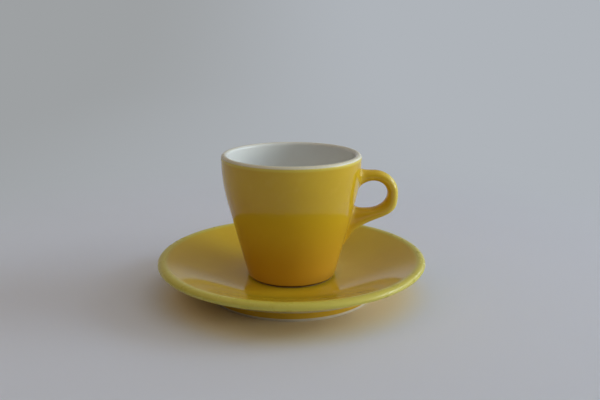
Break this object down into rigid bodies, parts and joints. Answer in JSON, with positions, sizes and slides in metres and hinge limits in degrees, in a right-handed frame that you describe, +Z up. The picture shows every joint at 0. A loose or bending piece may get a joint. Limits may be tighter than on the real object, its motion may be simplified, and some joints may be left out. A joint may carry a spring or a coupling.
{
  "type": "espresso cup with saucer",
  "caption": "Tapered glazed porcelain espresso cup with a loop handle, white inside and yellow outside, standing on a round yellow saucer with a shallow dish.",
  "frame": {"origin": "centre of the saucer's foot ring, on the table", "axes": "+Z up, out of the cup's mouth; +X from the cup's axis towards the handle; +Y completes the right-handed frame, away from the viewer of the picture"},
  "size_m": [0.129, 0.129, 0.0679],
  "materials": {
    "porcelain": "bare fired porcelain, matt",
    "yellow_glaze": "glossy warm yellow glaze",
    "white_glaze": "glossy white glaze"
  },
  "bodies": {
    "saucer": {"saucer_body": "porcelain", "saucer_glaze": "yellow_glaze", "saucer_base_glaze": "yellow_glaze"},
    "cup": {"cup_body": "porcelain", "cup_handle": "porcelain", "cup_outer_glaze": "yellow_glaze", "cup_inner_glaze": "white_glaze", "cup_base_glaze": "yellow_glaze", "handle_glaze": "yellow_glaze"}
  },
  "joints": [
    {"name": "cup_lift", "type": "slide", "parent": "saucer", "child": "cup", "axis": [0, 0, 1], "range_m": [0, 0.1]}
  ]
}
